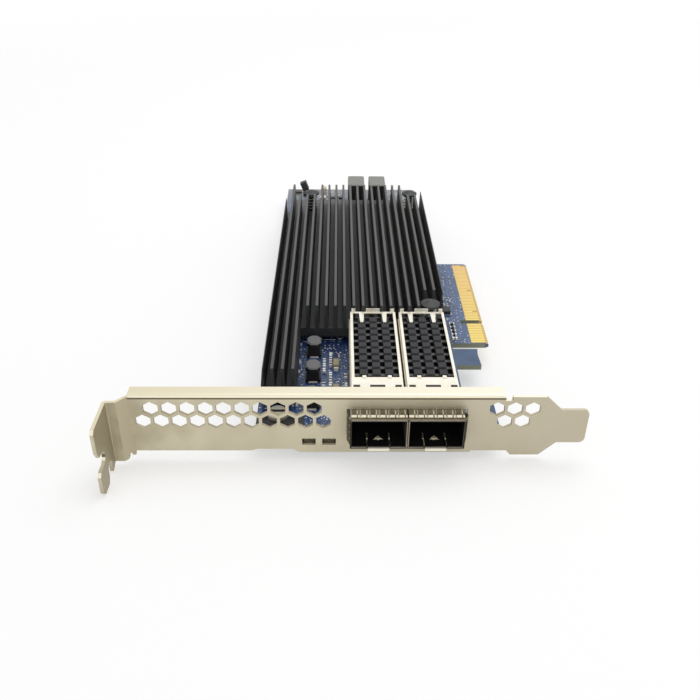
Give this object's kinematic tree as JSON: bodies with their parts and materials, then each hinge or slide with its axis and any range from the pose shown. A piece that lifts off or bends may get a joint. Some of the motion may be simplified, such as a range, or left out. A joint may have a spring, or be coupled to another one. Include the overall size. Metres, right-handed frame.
{
  "type": "network interface card",
  "caption": "Expansion-slot network card with a vented folded bracket, caged module ports and a long finned heat sink.",
  "frame": {"origin": "centre of the edge connector's key, on the connector's leading edge, in the component-side surface of the board", "axes": "+X leaves the board at the edge connector, +Y runs from the bracket to the card's far end, +Z leaves the component side"},
  "size_m": [0.12, 0.1821, 0.0199],
  "materials": {
    "bracket_steel": "nickel-plated sheet, satin",
    "screw_steel": "zinc-plated",
    "board_laminate": "blue solder mask",
    "contact_gold": "hard gold plating, polished",
    "sink_anodised": "black anodised, satin",
    "black_nylon": "moulded nylon",
    "spring_wire": "drawn wire",
    "chip_lid": "nickel-plated lid",
    "thermal_pad": "soft pad",
    "chip_black": "moulded epoxy",
    "cage_sheet": "tin-nickel plated sheet",
    "clip_steel": "spring steel, bright",
    "socket_black": "moulded liquid-crystal polymer",
    "spring_fingers": "plated spring sheet",
    "choke_grey": "pressed iron powder",
    "ferrite_grey": "sintered ferrite",
    "ceramic_tan": "sintered ceramic",
    "tantalum_black": "moulded epoxy",
    "lamp_clear": "clear moulding",
    "header_black": "moulded plastic",
    "header_cream": "moulded plastic"
  },
  "bodies": {
    "root": {"bracket": "bracket_steel", "bracket_screws": "screw_steel", "circuit_board": "board_laminate", "edge_contacts": "contact_gold", "heat_sink": "sink_anodised", "push_pins": "black_nylon", "pin_springs": "spring_wire", "network_controller": "chip_lid", "thermal_pad": "thermal_pad", "memory_chips": "chip_black", "memory_pads": "thermal_pad", "port_cage_left": "cage_sheet", "port_cage_right": "cage_sheet", "port_heatsink_left": "sink_anodised", "port_heatsink_right": "sink_anodised", "heatsink_clip_left": "clip_steel", "heatsink_clip_right": "clip_steel", "port_socket_left": "socket_black", "port_socket_right": "socket_black", "port_gasket": "spring_fingers", "power_chokes": "choke_grey", "bead_inductors": "ferrite_grey", "power_stages": "chip_black", "ceramic_capacitors": "ceramic_tan", "tantalum_capacitors": "tantalum_black", "logic_chip": "chip_black", "status_lights": "lamp_clear", "pin_header": "header_black", "jumper_cap": "header_black", "wire_header": "header_cream", "underside_capacitors": "ceramic_tan"}
  },
  "joints": []
}
